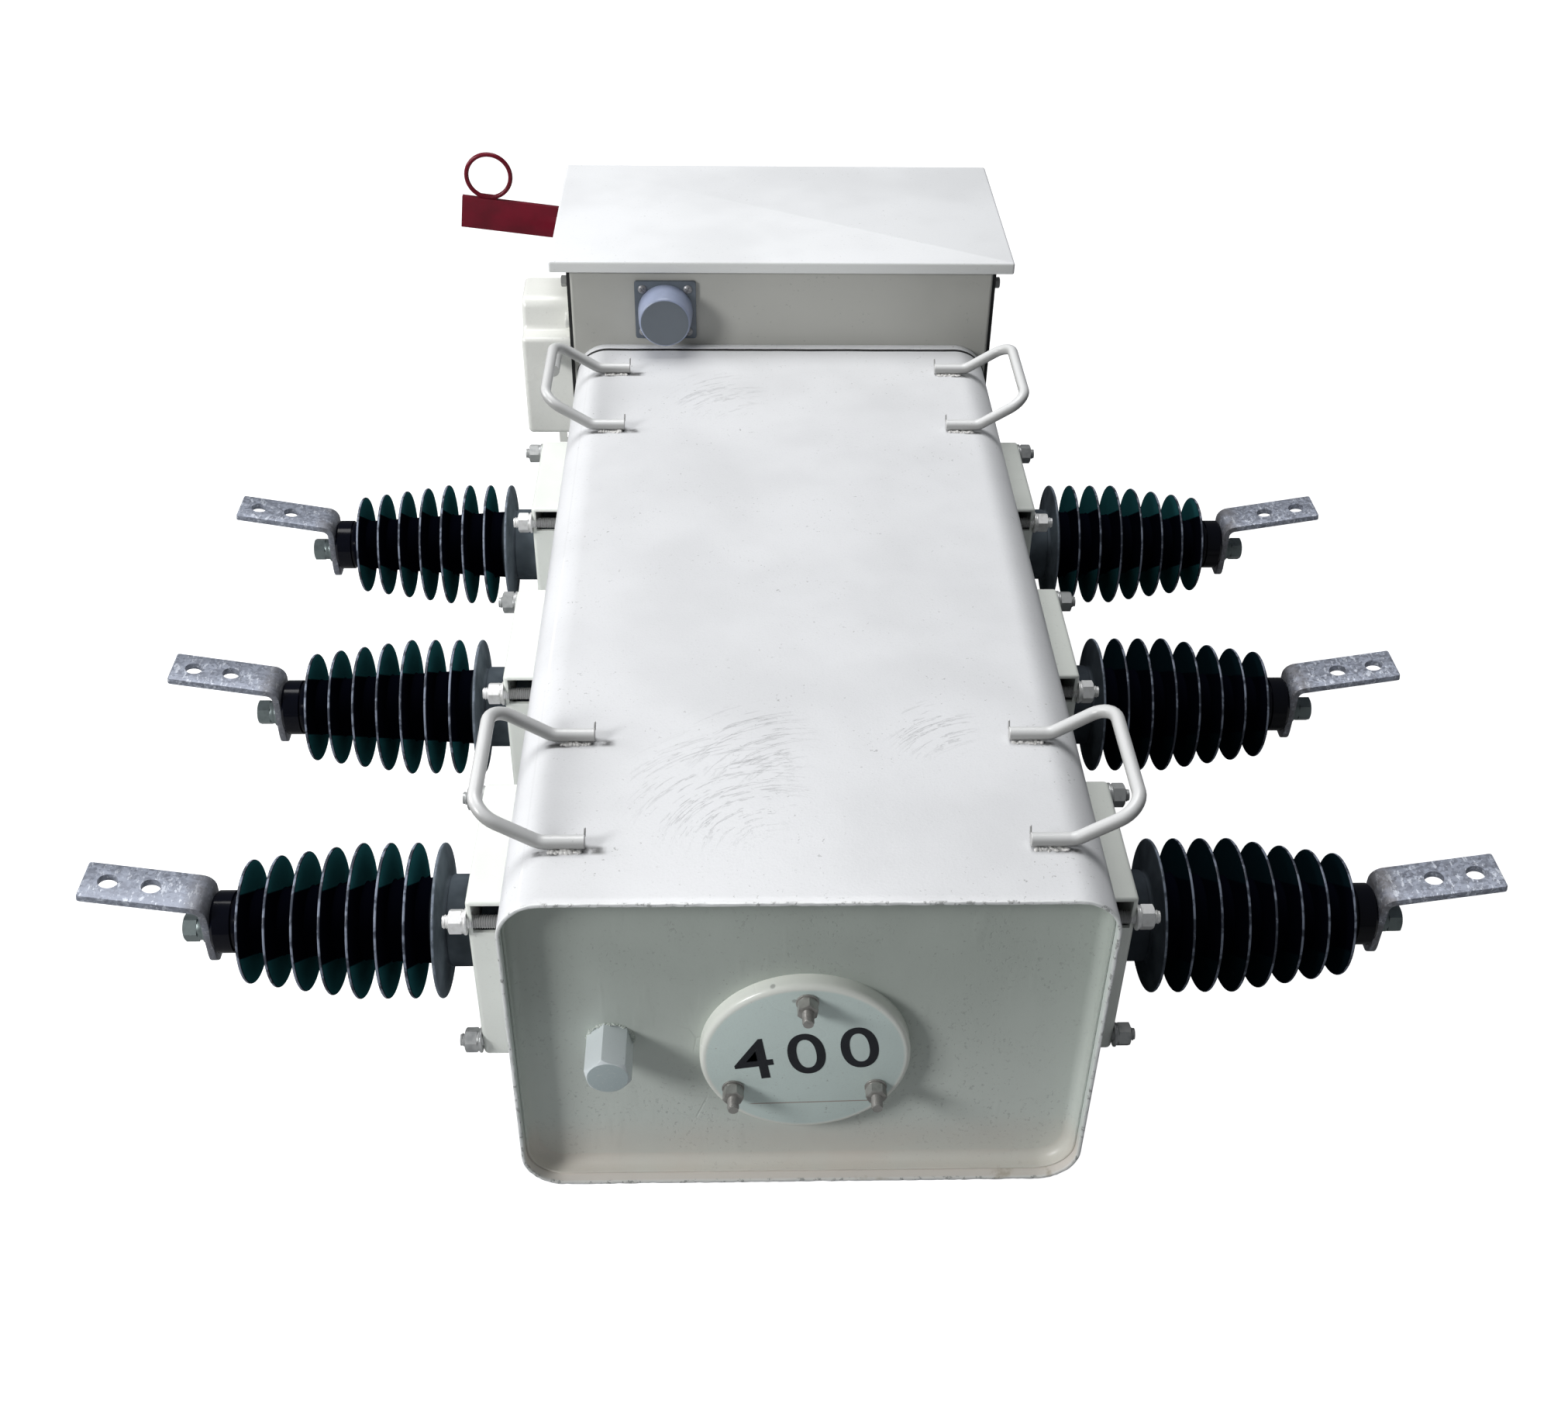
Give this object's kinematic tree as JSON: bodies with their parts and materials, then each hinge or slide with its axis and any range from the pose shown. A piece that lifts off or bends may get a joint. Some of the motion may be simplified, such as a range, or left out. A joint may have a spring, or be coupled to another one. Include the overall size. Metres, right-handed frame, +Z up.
{
  "type": "gas insulated breaker",
  "caption": "Pole-type gas insulated breaker: bent-sheet tank, ribbed side bushings with flat terminals, lifting handles, rear mechanism box and hook-stick lever.",
  "frame": {"origin": "centre of the flat underside of the tank", "axes": "+X to the right across the tank, +Y from the recessed front end to the mechanism box, +Z up"},
  "size_m": [1.094, 1.113, 0.3947],
  "materials": {
    "paint": "satin warm off-white enamel with orange peel",
    "zinc": "zinc-plated, partly overpainted",
    "galvanised": "hot-dip galvanised, mottled",
    "bushing": "glossy black moulded insulator",
    "gasket": "black rubber",
    "connector": "blue-grey anodised",
    "lever": "dark crimson enamel"
  },
  "bodies": {
    "root": {"tank_shell": "paint", "front_end_plate": "paint", "flange_gasket": "gasket", "rear_end_flange": "paint", "relief_cover": "paint", "cover_studs": "zinc", "filler_plug": "paint", "clamp_left_front": "paint", "clamp_left_middle": "paint", "clamp_left_rear": "paint", "clamp_right_front": "paint", "clamp_right_middle": "paint", "clamp_right_rear": "paint", "bushing_left_front": "bushing", "bushing_left_middle": "bushing", "bushing_left_rear": "bushing", "bushing_right_front": "bushing", "bushing_right_middle": "bushing", "bushing_right_rear": "bushing", "terminal_left_front": "galvanised", "terminal_left_middle": "galvanised", "terminal_left_rear": "galvanised", "terminal_right_front": "galvanised", "terminal_right_middle": "galvanised", "terminal_right_rear": "galvanised", "terminal_bolts": "zinc", "clamp_studs": "zinc", "handle_left_front": "paint", "handle_left_rear": "paint", "handle_right_front": "paint", "handle_right_rear": "paint", "box_front_plate": "paint", "box_gasket": "gasket", "box_cover": "paint", "box_roof": "paint", "connector_flange": "connector", "connector_cap": "connector", "linkage_housing": "paint", "housing_peg": "paint", "housing_bracket": "zinc", "shaft_boss": "paint", "lever_bearing": "paint"},
    "lever": {"lever_shaft": "zinc", "operating_lever": "lever"}
  },
  "joints": [
    {"name": "lever_turn", "type": "hinge", "parent": "root", "child": "lever", "pos_m": [0, 0.677, 0.284], "axis": [0, 1, 0], "range_deg": [-40, 0]}
  ]
}
